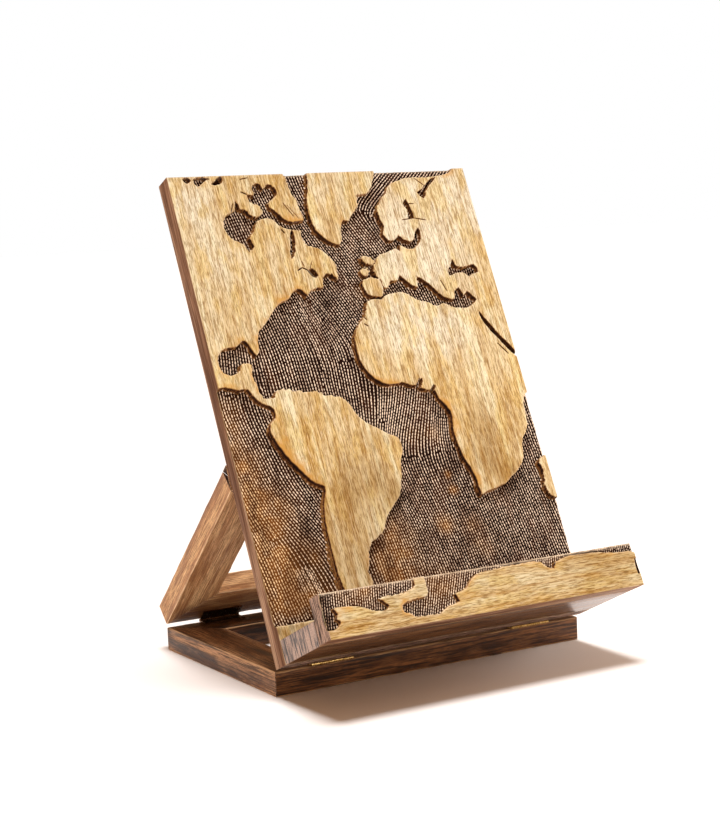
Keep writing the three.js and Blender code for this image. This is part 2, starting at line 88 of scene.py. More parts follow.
def node_points(name):
    mesh = nodes[name].data
    points = np.empty(len(mesh.vertices) * 3)
    mesh.vertices.foreach_get("co", points)
    return points.reshape(-1, 3)


PANEL = Place(65.6, "reading_panel")
STRUT = Place(136, "strut_bottom_rail", face_is_highest=True)
BASE = Place(0, "base_front_rail")


# ---- number fields ------------------------------------------------------------------------
def smoothstep(low, high, value):
    t = np.clip((value - low) / (high - low), 0, 1)
    return t * t * (3 - 2 * t)


def ripple(x, y, size, seed):
    """Smooth noise from -1 to 1 with features about as wide as size."""
    table = np.random.default_rng(seed).uniform(-1, 1, (64, 64))
    u, v = np.asarray(x) / size + 1000, np.asarray(y) / size + 1000
    i, j = np.floor(u).astype(int), np.floor(v).astype(int)
    a, b = u - i, v - j
    a, b = a * a * (3 - 2 * a), b * b * (3 - 2 * b)
    at = lambda di, dj: table[(i + di) % 64, (j + dj) % 64]
    low = at(0, 0) * (1 - a) + at(1, 0) * a
    high = at(0, 1) * (1 - a) + at(1, 1) * a
    return low * (1 - b) + high * b


def blobs(x, y, places):
    """Sum of soft round spots, each (x, y, radius, strength)."""
    total = np.zeros(np.shape(x))
    for px, py, radius, strength in places:
        total += strength * np.exp(-((x - px) ** 2 + (y - py) ** 2) / radius**2)
    return total


# ---- meshes -------------------------------------------------------------------------------
def new_piece(name, points, faces, body, material, replaced, numbers, smooth=35):
    """A mesh that stands in for the replaced nodes, with numbers held at its points."""
    mesh = bpy.data.meshes.new(name)
    mesh.from_pydata(np.asarray(points).tolist(), [], faces)
    for key, values in numbers.items():
        values = np.asarray(values, np.float32)
        if values.ndim == 2:
            mesh.attributes.new(key, "FLOAT_VECTOR", "POINT").data.foreach_set("vector", values.ravel())
        else:
            mesh.attributes.new(key, "FLOAT", "POINT").data.foreach_set("value", values)
    mesh.polygons.foreach_set("use_smooth", [True] * len(mesh.polygons))
    mesh.set_sharp_from_angle(angle=math.radians(smooth))
    mesh.materials.append(material)
    mesh.validate()
    piece = bpy.data.objects.new(name, mesh)
    bpy.context.scene.collection.objects.link(piece)
    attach(piece, body)
    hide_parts(*replaced)


# ---- materials ----------------------------------------------------------------------------
COAT_ROUGHNESS = 0.2


class Graph:
    """A material's node tree, built from the inputs towards the shader."""

    def __init__(self, name):
        self.material = bpy.data.materials.new(name)
        self.material.use_nodes = True
        self.tree = self.material.node_tree
        self.tree.nodes.clear()

    def node(self, kind, **settings):
        made = self.tree.nodes.new(kind)
        for key, value in settings.items():
            setattr(made, key, value)
        return made

    def plug(self, socket, value):
        if isinstance(value, bpy.types.NodeSocket):
            self.tree.links.new(value, socket)
        elif isinstance(value, (tuple, list)) and len(value) == 3 and socket.type == "RGBA":
            socket.default_value = (*value, 1)
        else:
            socket.default_value = value

    def attribute(self, name, output="Fac"):
        return self.node("ShaderNodeAttribute", attribute_name=name).outputs[output]

    def math(self, operation, a, b=0.0, clamp=False):
        made = self.node("ShaderNodeMath", operation=operation, use_clamp=clamp)
        self.plug(made.inputs[0], a)
        self.plug(made.inputs[1], b)
        return made.outputs[0]

    def mix(self, factor, a, b, blend="MIX"):
        made = self.node("ShaderNodeMix", data_type="RGBA", blend_type=blend)
        self.plug(made.inputs[0], factor)
        self.plug(made.inputs[6], a)
        self.plug(made.inputs[7], b)
        return made.outputs[2]

    def tint(self, factor, color, by):
        """Color multiplied by another colour, as far as factor says."""
        return self.mix(factor, color, self.mix(1.0, color, by, "MULTIPLY"))

    def between(self, value, low, high, a=0.0, b=1.0):
        """A smooth turn from a to b while value goes from low to high."""
        made = self.node("ShaderNodeMapRange", interpolation_type="SMOOTHSTEP")
        for index, number in enumerate((value, low, high, a, b)):
            self.plug(made.inputs[index], number)
        return made.outputs[0]

    def scaled(self, vector, scale):
        made = self.node("ShaderNodeVectorMath", operation="MULTIPLY")
        self.plug(made.inputs[0], vector)
        made.inputs[1].default_value = scale
        return made.outputs[0]

    def noise(self, vector, scale=1.0, detail=3.0, roughness=0.55, distortion=0.0):
        made = self.node("ShaderNodeTexNoise")
        self.plug(made.inputs["Vector"], vector)
        made.inputs["Scale"].default_value = scale
        made.inputs["Detail"].default_value = detail
        made.inputs["Roughness"].default_value = roughness
        made.inputs["Distortion"].default_value = distortion
        return made.outputs["Fac"]

    def ramp(self, value, stops):
        made = self.node("ShaderNodeValToRGB")
        elements = made.color_ramp.elements
        while len(elements) < len(stops):
            elements.new(0.5)
        for element, (place, color) in zip(elements, stops):
            element.position = place
            element.color = (*color, 1)
        self.plug(made.inputs[0], value)
        return made.outputs[0]

    def shader(self, color, roughness, height=None, depth=0.0, metallic=0.0, coat=0.0, specular=0.5):
        shader = self.node("ShaderNodeBsdfPrincipled")
        self.plug(shader.inputs["Base Color"], color)
        self.plug(shader.inputs["Roughness"], roughness)
        shader.inputs["Metallic"].default_value = metallic
        shader.inputs["Specular IOR Level"].default_value = specular
        shader.inputs["Coat Weight"].default_value = coat
        shader.inputs["Coat Roughness"].default_value = COAT_ROUGHNESS
        if height is not None:
            bump = self.node("ShaderNodeBump")
            bump.inputs["Strength"].default_value = 1.0
            bump.inputs["Distance"].default_value = depth
            self.plug(bump.inputs["Height"], height)
            self.plug(shader.inputs["Normal"], bump.outputs[0])
        output = self.node("ShaderNodeOutputMaterial")
        self.plug(output.inputs["Surface"], shader.outputs[0])
        return self.material


def wood_figure(g, grain, line_length=34, line_width=1.2):
    """Broad bands, fine lines, fibres, pores and blotches of a board, from its own mm."""
    bands = g.noise(g.scaled(grain, (1 / 140, 1 / 9, 1 / 9)), detail=4, distortion=0.5)
    line_scale = (1 / line_length, 1 / line_width, 1 / line_width)
    lines = g.noise(g.scaled(grain, line_scale), detail=3, distortion=0.3)
    fibres = g.noise(g.scaled(grain, (1 / 10, 1 / 0.5, 1 / 0.5)), detail=2)
    pores = g.noise(g.scaled(grain, (1 / 4.5, 1 / 0.42, 1 / 0.42)), detail=1)
    mottle = g.noise(g.scaled(grain, (1 / 34, 1 / 12, 1 / 12)), detail=4)
    return bands, lines, fibres, g.between(pores, 0.6, 0.7), mottle


END_GRAIN = (1 / 5, 1 / 14, 1 / 1.7)
END_DARK, END_PALE = (0.030, 0.019, 0.016), (0.56, 0.37, 0.28)
# colour that painted shade near the strut's foot multiplies in
SHADE_TINT = (0.30, 0.20, 0.13)


def end_grain(g, grain):
    """Grey-brown sawn end with dark streaks up it."""
    streaks = g.noise(g.scaled(grain, END_GRAIN), detail=3, distortion=0.4)
    rough = g.noise(g.scaled(grain, (1, 1.4, 1.4)), detail=3)
    color = g.ramp(streaks, [(0.40, END_DARK), (0.48, tuple(0.5 * h for h in END_PALE)), (0.58, END_PALE)])
    return g.mix(g.between(rough, 0.4, 0.62, 0.4, 0.0), color, END_DARK)


def stained_wood(name, dark, middle, light, wear_and_highlight_color, roughness, gloss, lines_mm=(34, 1.2)):
    """A stained board, paler along its edges: partly wear, partly painted highlight."""
    g = Graph(name)
    grain = g.attribute("grain", "Vector")
    bands, lines, fibres, pores, mottle = wood_figure(g, grain, *lines_mm)
    color = g.ramp(bands, [(0.36, dark), (0.5, middle), (0.62, light)])
    color = g.mix(g.between(mottle, 0.44, 0.62, 0.0, 0.55), color, light)
    color = g.mix(g.between(lines, 0.40, 0.54, 0.8, 0.0), color, dark)
    color = g.mix(g.between(fibres, 0.38, 0.56, 0.55, 0.0), color, dark)
    color = g.mix(g.math("MULTIPLY", pores, 0.6), color, tuple(0.4 * d for d in dark))
    # painted shade near the strut's foot, partly a darker stain
    color = g.tint(g.attribute("shade"), color, SHADE_TINT)
    wear_and_highlight_mask = g.math("MULTIPLY", g.attribute("wear_and_highlight"), g.between(lines, 0.36, 0.52, 0.25, 1.0))
    # edges paler: partly wear, partly painted highlight
    color = g.mix(wear_and_highlight_mask, color, wear_and_highlight_color)
    color = g.mix(g.attribute("end"), color, end_grain(g, grain))
    height = g.math("SUBTRACT", fibres, pores)
    rough = g.between(bands, 0.38, 0.62, roughness - 0.05, roughness + 0.12)
    return g.shader(color, rough, height, 0.00014, coat=gloss, specular=0.2)


# Colours of the carved boards. Bands run from dark to pale.
BAND_STOPS = (0.38, 0.5, 0.62)
LAND_BANDS = ((0.62, 0.45, 0.205), (0.76, 0.625, 0.365), (0.83, 0.77, 0.535))
LAND_PALE_AND_LIT, LAND_BROWN_AND_SHADED = (0.88, 0.86, 0.72), (0.67, 0.57, 0.43)
LAND_HONEY, LAND_LINE, LAND_PORE = (0.93, 0.80, 0.48), (0.66, 0.52, 0.38), (0.22, 0.10, 0.035)
FLECK_DARK, FLECK_PALE = (0.50, 0.40, 0.27), (0.93, 0.84, 0.62)
LAND_HEATED = (0.60, 0.32, 0.075)
GAP_DARK, GAP_GOLD, GAP_MOTTLED = (0.014, 0.0035, 0.0008), (0.22, 0.082, 0.018), (0.065, 0.020, 0.006)
# the knobs' tips: pale bare wood, brightened further as a painted highlight
MARK_PALE_AND_LIT, MARK_GOLD = (1.0, 0.81, 0.64), (1.0, 0.72, 0.40)
SEA_BLOTCHED, SEA_SHADED = (0.42, 0.33, 0.29), (0.32, 0.25, 0.21)
BURNT = [(0.0, (0.62, 0.38, 0.12)), (0.3, (0.33, 0.155, 0.048)),
         (0.52, (0.095, 0.034, 0.012)), (0.78, (0.010, 0.004, 0.002))]
# pale edge colour of the carved boards: partly wear, partly painted highlight
RIM_WEAR_AND_HIGHLIGHT = (0.92, 0.77, 0.58)
SIDE_BANDS = ((0.13, 0.058, 0.030), (0.26, 0.135, 0.078), (0.44, 0.27, 0.17))
SIDE_LINE = (0.085, 0.035, 0.018)


def land_color(g, figure, flecks, speckle):
    bands, lines, pores, mottle = figure
    shade, glow = g.attribute("shade"), g.attribute("glow")
    land = g.ramp(bands, list(zip(BAND_STOPS, LAND_BANDS)))
    # paler land: partly painted light towards the panel's top, partly the wood's own tone
    land = g.mix(g.between(shade, 0, -1, 0, 0.75), land, LAND_PALE_AND_LIT)
    land = g.tint(g.between(mottle, 0.46, 0.60, 0.0, 0.7), land, LAND_HONEY)
    land = g.tint(g.between(lines, 0.40, 0.54, 0.6, 0.0), land, LAND_LINE)
    land = g.tint(g.between(flecks, 0.40, 0.50, 0.8, 0.0), land, FLECK_DARK)
    land = g.mix(g.between(flecks, 0.55, 0.64, 0.0, 0.35), land, FLECK_PALE)
    land = g.mix(g.math("MULTIPLY", pores, 0.6), land, LAND_PORE)
    # browner land: partly painted shade towards the panel's foot, partly the wood's own tone
    land = g.tint(g.between(shade, 0, 1), land, LAND_BROWN_AND_SHADED)
    heat = g.math("ADD", glow, g.math("MULTIPLY", g.math("SUBTRACT", speckle, 0.5), 0.5), clamp=True)
    return g.mix(g.between(heat, 0.10, 0.60, 0.0, 0.95), land, LAND_HEATED)


def sea_color(g, grain, mottle):
    """Pale tips of the gouge marks, partly bare wood and partly painted highlight, over dark gaps."""
    gold = g.attribute("gold")
    blotches = g.noise(g.scaled(grain, (1 / 26, 1 / 15, 1 / 15)), detail=3, distortion=1.0)
    gaps = g.mix(gold, GAP_DARK, GAP_GOLD)
    gaps = g.mix(g.between(mottle, 0.46, 0.64, 0.0, 0.6), gaps, GAP_MOTTLED)
    tips = g.mix(gold, MARK_PALE_AND_LIT, MARK_GOLD)
    sea = g.mix(g.between(g.attribute("tip"), 0.42, 0.62), gaps, tips)
    sea = g.tint(g.between(blotches, 0.38, 0.52, 0.6, 0.0), sea, SEA_BLOTCHED)
    return g.tint(g.between(g.attribute("shade"), 0, 1), sea, SEA_SHADED)


def map_wood():
    g = Graph("map_wood")
    grain, sea = g.attribute("grain", "Vector"), g.attribute("sea")
    bands, lines, fibres, pores, mottle = wood_figure(g, grain)
    flecks = g.noise(g.scaled(grain, (1 / 7, 1 / 0.8, 1 / 0.8)), detail=3, roughness=0.6)
    speckle = g.noise(grain, scale=0.5, detail=4, roughness=0.7)
    land = land_color(g, (bands, lines, pores, mottle), flecks, speckle)
    color = g.mix(sea, land, sea_color(g, grain, mottle))

    uneven = g.math("MULTIPLY", g.math("SUBTRACT", speckle, 0.5), 0.3)
    burn = g.math("ADD", g.attribute("char"), uneven, clamp=True)
    color = g.mix(g.between(burn, 0.08, 0.4), color, g.ramp(burn, BURNT))
    wear_and_highlight_mask = g.math("MULTIPLY", g.attribute("wear_and_highlight"), g.between(flecks, 0.4, 0.55, 0.4, 1.0))
    color = g.mix(wear_and_highlight_mask, color, RIM_WEAR_AND_HIGHLIGHT)

    side = g.ramp(bands, list(zip(BAND_STOPS, SIDE_BANDS)))
    side = g.mix(g.between(lines, 0.40, 0.54, 0.7, 0.0), side, SIDE_LINE)
    side = g.mix(g.attribute("end"), side, end_grain(g, grain))
    color = g.mix(g.attribute("stain"), color, side)
    rough = g.between(sea, 0, 1, 0.5, 0.62)
    height = g.math("SUBTRACT", fibres, pores)
    return g.shader(color, rough, height, 0.0001, specular=0.05)


def brass(name, dull, bright):
    g = Graph(name)
    place = g.node("ShaderNodeTexCoord").outputs["Object"]
    tarnish = g.noise(place, scale=900, detail=4)
    color = g.ramp(tarnish, [(0.42, dull), (0.58, bright)])
    scratches = g.noise(g.scaled(place, (300, 4000, 4000)), detail=2)
    return g.shader(color, g.between(tarnish, 0.3, 0.7, 0.38, 0.24), scratches, 0.00002, metallic=1.0)


def dowel_wood():
    g = Graph("dowel_wood")
    place = g.node("ShaderNodeTexCoord").outputs["Object"]
    fibres = g.noise(g.scaled(place, (400, 400, 400)), detail=4)
    color = g.ramp(fibres, [(0.3, (0.42, 0.28, 0.14)), (0.7, (0.64, 0.46, 0.27))])
    return g.shader(color, 0.7, fibres, 0.00005)


MAP_WOOD = map_wood()
# dark, middle, light, edge colour of wear and painted highlight; then roughness, gloss and the size of the
# fine lines
LEDGE_WOOD = stained_wood(
    "ledge_wood", (0.050, 0.018, 0.007), (0.17, 0.072, 0.030), (0.36, 0.175, 0.072), (0.55, 0.34, 0.16),
    roughness=0.34, gloss=0.5)
# front and rear rails: the base's wood made darker as painted shade under the ledge and panel
BASE_SHADED_WOOD = stained_wood(
    "base_wood", (0.012, 0.004, 0.0015), (0.085, 0.029, 0.008), (0.25, 0.10, 0.032), (0.50, 0.29, 0.14),
    roughness=0.42, gloss=0.15)
# side rails: the same wood made paler as painted light from the left
BASE_SIDE_LIT_WOOD = stained_wood(
    "base_side_lit_wood", (0.025, 0.009, 0.004), (0.19, 0.078, 0.030), (0.50, 0.26, 0.12), (0.60, 0.38, 0.21),
    roughness=0.42, gloss=0.15)
STRUT_WOOD = stained_wood(
    "strut_wood", (0.24, 0.10, 0.038), (0.58, 0.30, 0.128), (0.82, 0.52, 0.26), (0.85, 0.60, 0.36),
    roughness=0.46, gloss=0.1, lines_mm=(26, 0.75))
BRASS = brass("brass", (0.45, 0.27, 0.07), (0.90, 0.66, 0.28))
# darker brass for the rear hinges: partly tarnish, partly painted shade between base and strut
TARNISHED_SHADED_BRASS = brass("tarnished_shaded_brass", (0.10, 0.045, 0.018), (0.22, 0.12, 0.05))
DOWEL_WOOD = dowel_wood()


# ---- plain members ------------------------------------------------------------------------
STATION = 3.5           # spacing of the rings along a member
ARC_STEPS = 3
FLATS = 5               # points along each flat side of a ring
END_EASE = 0.25
EASED, EASED_AT_HINGE = 0.75, 1.15   # edge radii, larger where a folded hinge leaf comes close
EDGE_WAVE = 0.45        # share by which the radius varies along an edge
GRAIN_SHIFT = np.array([211.0, 37.0, 53.0])   # keeps the boards' figures apart
PAINTED_SHADE_TO = 34            # the strut is darkened up to here, near the base: painted shade, partly a darker stain
LIT_SIDES = (117, 126.5)   # from the middle: where that painted shade fades out, leaving the outer sides lit


def section_ring(corners, radii):
    """Points round a four-cornered section with rounded corners, and how much wear and painted highlight
    each one gets.
    """
    points, wear_and_highlight = [], []
    count = len(corners)
    arcs = []
    for i, corner in enumerate(corners):
        before = corners[i - 1] - corner
        after = corners[(i + 1) % count] - corner
        before, after = before / np.linalg.norm(before), after / np.linalg.norm(after)
        half = math.acos(np.clip(before @ after, -1, 1)) / 2
        bisector = (before + after) / np.linalg.norm(before + after)
        centre = corner + bisector * radii[i] / math.sin(half)
        first = corner + before * radii[i] / math.tan(half) - centre
        last = corner + after * radii[i] / math.tan(half) - centre
        span = math.pi - 2 * half
        arcs.append([
            centre + (math.sin((1 - t) * span) * first + math.sin(t * span) * last) / math.sin(span)
            for t in np.linspace(0, 1, ARC_STEPS + 1)])
    for i, arc in enumerate(arcs):
        points += arc
        wear_and_highlight += [0.0] + [1.0] * (ARC_STEPS - 1) + [0.0]
        start, end = arc[-1], arcs[(i + 1) % count][0]
        for t in np.linspace(0, 1, FLATS + 2)[1:-1]:
            points.append(start + (end - start) * t)
            wear_and_highlight.append(0.0)
    return np.array(points), np.array(wear_and_highlight)


def member(node, place, along, material, seed, edge=EASED, painted_shade_to=0):
    """A straight board with rounded edges, paler there for wear and painted highlight, in place of a CAD
    node: along is the axis of its length.
    """
    across = 1 - along
    points = place.local(node_points(node))
    depth_low, depth_high = points[:, 2].min(), points[:, 2].max()
    near = lambda axis, value: points[np.abs(points[:, axis] - value) < FLAT]
    low, high = near(2, depth_low), near(2, depth_high)
    corners = np.array([
        (low[:, across].min(), depth_low), (low[:, across].max(), depth_low),
        (high[:, across].max(), depth_high), (high[:, across].min(), depth_high)])
    sides = {}
    for value in (points[:, across].min(), points[:, across].max()):
        row = near(across, value)[:, along]
        sides[value] = (row.min(), row.max())
    inner = min(sides, key=lambda value: sides[value][1] - sides[value][0])
    outer = max(sides, key=lambda value: sides[value][1] - sides[value][0])
    inner_start, inner_end = sides[inner]
    outer_start, outer_end = sides[outer]
    length = outer_end - outer_start
    count = max(8, int(length / STATION))
    rings, wear_and_highlight_rows, where, ends = [], [], [], []
    for j in range(-1, count + 2):
        t = min(max(j, 0), count) / count
        tip = j in (-1, count + 1)
        waves = ripple(t * length + 37 * np.arange(4), seed + np.arange(4), 9, seed)
        ring, wear_and_highlight = section_ring(corners, edge * (1 + EDGE_WAVE * waves))
        if tip:
            centre = corners.mean(0)
            ring = ring - np.sign(ring - centre) * END_EASE
        start = np.maximum(outer_start, inner_start - np.abs(ring[:, 0] - inner))
        end = np.minimum(outer_end, inner_end + np.abs(ring[:, 0] - inner))
        run = start + (end - start) * t
        if 0 <= j <= count and t in (0, 1):
            run = run + (END_EASE if t == 0 else -END_EASE)
        local = np.empty((len(ring), 3))
        local[:, along], local[:, across], local[:, 2] = run, ring[:, 0], ring[:, 1]
        rings.append(local)
        wear_and_highlight_variation = 0.75 + 0.5 * ripple(t * length + 11 * np.arange(len(ring)), seed, 6, seed + 5)
        wear_and_highlight_rows.append(np.maximum(wear_and_highlight, 0.6 if tip else 0) * np.clip(wear_and_highlight_variation, 0, 1.2))
        where.append(np.column_stack([run, ring[:, 0], ring[:, 1]]))
        ends.append(np.full(len(ring), float(tip)))
    size = len(rings[0])
    faces = [[k * size + (i + 1) % size, k * size + i, (k + 1) * size + i, (k + 1) * size + (i + 1) % size]
             for k in range(len(rings) - 1) for i in range(size)]
    faces.append(list(range(size)))
    faces.append([(len(rings) - 1) * size + i for i in reversed(range(size))])
    local = np.concatenate(rings)
    if along == 1:
        faces = [face[::-1] for face in faces]
    # painted shade, partly a darker stain, from the strut's foot upward; none on its outer sides
    shade = np.zeros(len(local))
    if painted_shade_to:
        shade = 0.9 * (1 - smoothstep(0.15 * painted_shade_to, painted_shade_to, local[:, 1]))
    numbers = {
        "grain": np.concatenate(where) + seed * GRAIN_SHIFT,
        "wear_and_highlight": np.concatenate(wear_and_highlight_rows), "end": np.concatenate(ends),
        "shade": shade * (1 - smoothstep(*LIT_SIDES, np.abs(local[:, 0]))),
    }
    new_piece(node + "_wood", place.world(local), faces, nodes[node]["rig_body"], material, [node],
              numbers)


# ---- carved boards ------------------------------------------------------------------------
CELL = 0.5              # spacing of the carved surface's points
EDGE_ROUND = 0.5
WIDEST_FOOT = 4.2       # of a coast's slope
STRIP_FOOT = 0.7        # of the slope along the plain strip
FLOW_SOFTNESS = 20      # mm over which one direction turns into the next
BUCKET = 2              # side of the squares that neighbouring marks are looked up in
SEED_GRID = 6           # spacing of the first places tried for a string
ROW_SPACING = 0.82      # between strings, as a share of the pitch along them
CLEAR_IN_STRING, CLEAR_TO_START = 0.8, 0.86   # least gaps, as shares of the row spacing
MARK_DRIFT = 0.08
MARK_LENGTH, MARK_WIDTH = 0.58, 0.195   # as shares of the pitch

# Direction, in degrees, of the strings of gouge marks at places on the panel.
FLOW = [
    (175, 345, 40), (145, 300, 120),                               # channels between the northern lands
    (105, 245, 120), (65, 235, 105), (70, 205, 90),                # north Atlantic, leaning with its coast
    (12, 215, 80), (12, 150, 105), (12, 60, 100), (38, 90, 125),   # Pacific, leaning off South America
    (140, 165, 60), (110, 190, 85), (140, 100, 105),               # the swirl of the narrows, and below it
    (210, 80, 100), (100, 40, 95),                                 # off the Cape, and the panel's foot
]
# Worn, golden stretches of the sea: x, y, radius, strength.
GOLDEN = [
    (0, 40, 20, 0.7), (0, 70, 24, 0.9), (0, 110, 24, 0.9), (0, 145, 18, 0.8), (2, 178, 12, 0.5),
    (18, 75, 16, 0.7), (20, 45, 16, 0.7), (20, 105, 14, 0.5), (44, 70, 10, 0.5), (48, 40, 12, 0.6),
    (153, 80, 7, 0.8), (175, 75, 8, 0.5), (168, 104, 4, 0.9), (167, 116, 3, 0.9), (102, 62, 20, 0.9),
    (112, 84, 10, 0.6), (180, 60, 10, 0.3), (138, 262, 8, 0.5), (58, 132, 5, 0.4), (146, 150, 8, 0.25),
    (164, 148, 6, 0.4), (36, 36, 12, 0.5), (100, 42, 16, 0.6), (140, 36, 16, 0.35), (92, 84, 10, 0.6),
]
# Scorched stretches of land, lit orange by the burning: x, y, radius, strength.
SCORCHED = [
    (42, 150, 12, 0.9), (50, 132, 10, 0.9), (38, 170, 8, 0.4), (60, 118, 7, 0.5), (126, 190, 9, 0.8),
    (140, 187, 10, 0.5), (182, 168, 9, 0.8), (184, 150, 8, 0.7), (180, 128, 8, 0.4), (184, 108, 9, 0.6),
    (35, 200, 9, 0.8), (40, 226, 9, 0.7), (50, 244, 9, 0.5), (66, 262, 9, 0.6), (84, 268, 9, 0.5),
    (12, 210, 9, 0.5), (24, 232, 8, 0.5), (120, 214, 6, 0.4), (84, 60, 9, 0.35), (98, 90, 9, 0.3),
    (100, 320, 8, 0.5), (92, 326, 9, 0.6), (112, 305, 8, 0.6), (132, 318, 7, 0.4), (196, 110, 12, 0.4),
    (60, 30, 10, 0.3), (225, 112, 9, 0.3), (8, 198, 8, 0.5), (240, 352, 10, 0.4), (210, 255, 8, 0.3),
    (186, 292, 8, 0.4), (60, 170, 22, 0.25), (58, 345, 10, 0.3), (24, 345, 12, 0.25),
]
# Dark bands of the sea, and browner stretches of land: partly painted shade towards the panel's foot,
# partly the wood's own tone.
# Paler where negative, partly painted light towards the top: x, y, radius, strength.
SHADED = [
    (102, 252, 9, 0.5), (112, 262, 9, 0.4), (122, 228, 8, 0.5), (75, 205, 9, 0.3), (95, 200, 9, 0.3),
    (42, 90, 7, 0.4), (210, 150, 24, 0.55), (205, 125, 16, 0.5), (75, 60, 26, 0.4), (95, 118, 26, 0.75),
    (70, 95, 20, 0.3), (118, 106, 14, 0.5), (206, 112, 16, 0.6), (222, 105, 12, 0.5), (110, 150, 9, 0.4),
    (178, 128, 8, 0.4), (8, 342, 30, -0.9), (20, 292, 24, -0.5), (60, 288, 20, -0.4), (10, 245, 24, -0.3),
    (158, 232, 30, -0.8), (196, 232, 34, -0.7), (180, 288, 26, -0.9), (208, 325, 36, -0.9),
    (245, 325, 30, -0.8), (120, 345, 20, -0.4), (215, 275, 24, -0.5), (236, 190, 14, -0.2),
]
# Ragged stretches of coast: x, y, radius, strength.
CRUMBLED = [
    (50, 188, 14, 0.8), (75, 188, 14, 0.8), (92, 180, 10, 0.7), (34, 208, 10, 0.9), (130, 245, 12, 0.9),
    (145, 280, 10, 1.0), (112, 275, 9, 0.8), (86, 60, 12, 0.6), (92, 80, 10, 0.5), (180, 256, 14, 0.5),
    (60, 330, 20, 0.5), (120, 350, 30, 0.4), (160, 330, 14, 0.5), (246, 100, 14, 0.6),
]
# Fine dark cuts in the land: points, then width and depth.
CUTS = [
    ([(86, 281), (90, 283), (94, 281)], 0.5, 0.8), ([(94, 281), (97, 276), (100, 275)], 0.7, 0.9),
    ([(92, 284), (91, 288)], 0.4, 0.6), ([(96, 281), (99, 287)], 0.35, 0.5),
    ([(81, 314), (83, 311)], 0.5, 0.8), ([(88, 335), (94, 324)], 0.4, 0.6),
    ([(91, 333), (98, 322)], 0.35, 0.5),
    ([(128, 244), (132, 239)], 0.45, 0.7), ([(129, 236), (132, 234)], 0.45, 0.7),
    ([(160, 184), (163, 190)], 0.6, 0.9), ([(170, 180), (174, 184)], 0.6, 0.9),
    ([(205, 266), (208, 257)], 0.4, 0.7), ([(186, 317), (197, 318), (207, 316)], 0.4, 0.7),
    ([(194, 330), (200, 330)], 0.4, 0.6), ([(207, 351), (215, 344)], 0.4, 0.6),
    ([(214, 341), (219, 346)], 0.4, 0.6), ([(164, 268), (166, 262)], 0.4, 0.6),
    ([(240, 212), (247, 203)], 0.5, 0.7), ([(56, 345), (60, 343)], 0.5, 0.8),
    ([(44, 328), (47, 336)], 0.4, 0.7), ([(49, 303), (51, 298)], 0.6, 0.9),
    ([(28, 357), (33, 356)], 0.5, 0.7), ([(64, 356), (58, 355)], 0.45, 0.6),
]


class Relief:
    """Land and sea of a carved board, read from its CAD node."""

    def __init__(self, node, place):
        mesh = nodes[node].data
        points = place.local(node_points(node))
        triangles = [tuple(p.vertices) for p in mesh.polygons]
        self.tree = BVHTree.FromPolygons(points.tolist(), triangles)
        self.low, self.high = points.min(0), points.max(0)
        self.land = self.high[2]
        samples, normals = [], []
        for triangle in triangles:
            corners = points[list(triangle)]
            normal = np.cross(corners[1] - corners[0], corners[2] - corners[0])
            length = np.linalg.norm(normal)
            if length < 1e-9 or abs(normal[2]) > 0.05 * length:
                continue
            top = corners[np.abs(corners[:, 2] - self.land) < FLAT]
            inside = lambda p: all(self.low[k] + 0.1 < p[k] < self.high[k] - 0.1 for k in (0, 1))
            if len(top) != 2 or not inside(top.mean(0)):
                continue
            steps = max(2, int(np.linalg.norm(top[1] - top[0]) / 0.25))
            for t in (np.arange(steps) + 0.5) / steps:
                samples.append(top[0] + (top[1] - top[0]) * t)
                normals.append(normal[:2] / length)
        self.normals = np.array(normals)
        self.coast = KDTree(len(samples))
        for index, sample in enumerate(samples):
            self.coast.insert((sample[0], sample[1], 0), index)
        self.coast.balance()

    def read(self, x, y):
        """Distance from the coast, negative on land, and the direction the coast faces."""
        margin = 0.05
        down = Vector((0, 0, -1))
        distance, facing = np.empty(x.shape), np.empty((*x.shape, 2))
        middle = self.land - 1
        for index in np.ndindex(x.shape):
            px = min(max(x[index], self.low[0] + margin), self.high[0] - margin)
            py = min(max(y[index], self.low[1] + margin), self.high[1] - margin)
            hit = self.tree.ray_cast(Vector((px, py, self.land + 5)), down)[0]
            _, nearest, gap = self.coast.find((px, py, 0))
            on_land = hit is not None and hit.z > middle
            distance[index] = -gap if on_land else gap
            facing[index] = self.normals[nearest]
        return distance, facing


